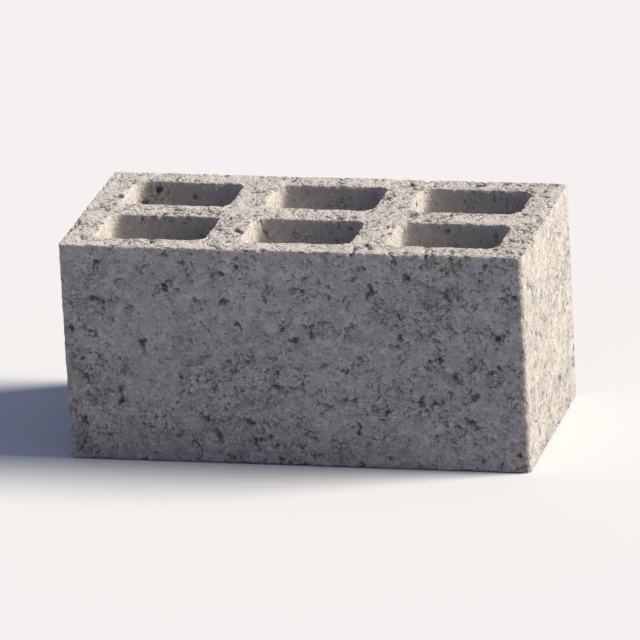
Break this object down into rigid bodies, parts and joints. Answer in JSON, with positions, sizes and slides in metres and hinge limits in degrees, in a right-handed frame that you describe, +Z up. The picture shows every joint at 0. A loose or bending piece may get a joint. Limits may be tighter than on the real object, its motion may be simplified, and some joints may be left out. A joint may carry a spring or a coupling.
{
  "type": "hollow concrete block",
  "caption": "Hollow concrete wall block with two rows of rectangular cores open from bed to bed, laid in mortar in masonry walls.",
  "frame": {"origin": "centre of the bottom bed, which the block rests on", "axes": "+X along the block's length, +Y across it from the front face shell to the back one, +Z up the cores to the top bed"},
  "size_m": [0.39, 0.19, 0.188],
  "materials": {
    "concrete": "dry cast concrete, open pored and gritty, matt light grey"
  },
  "bodies": {
    "root": {"block": "concrete"}
  },
  "joints": []
}
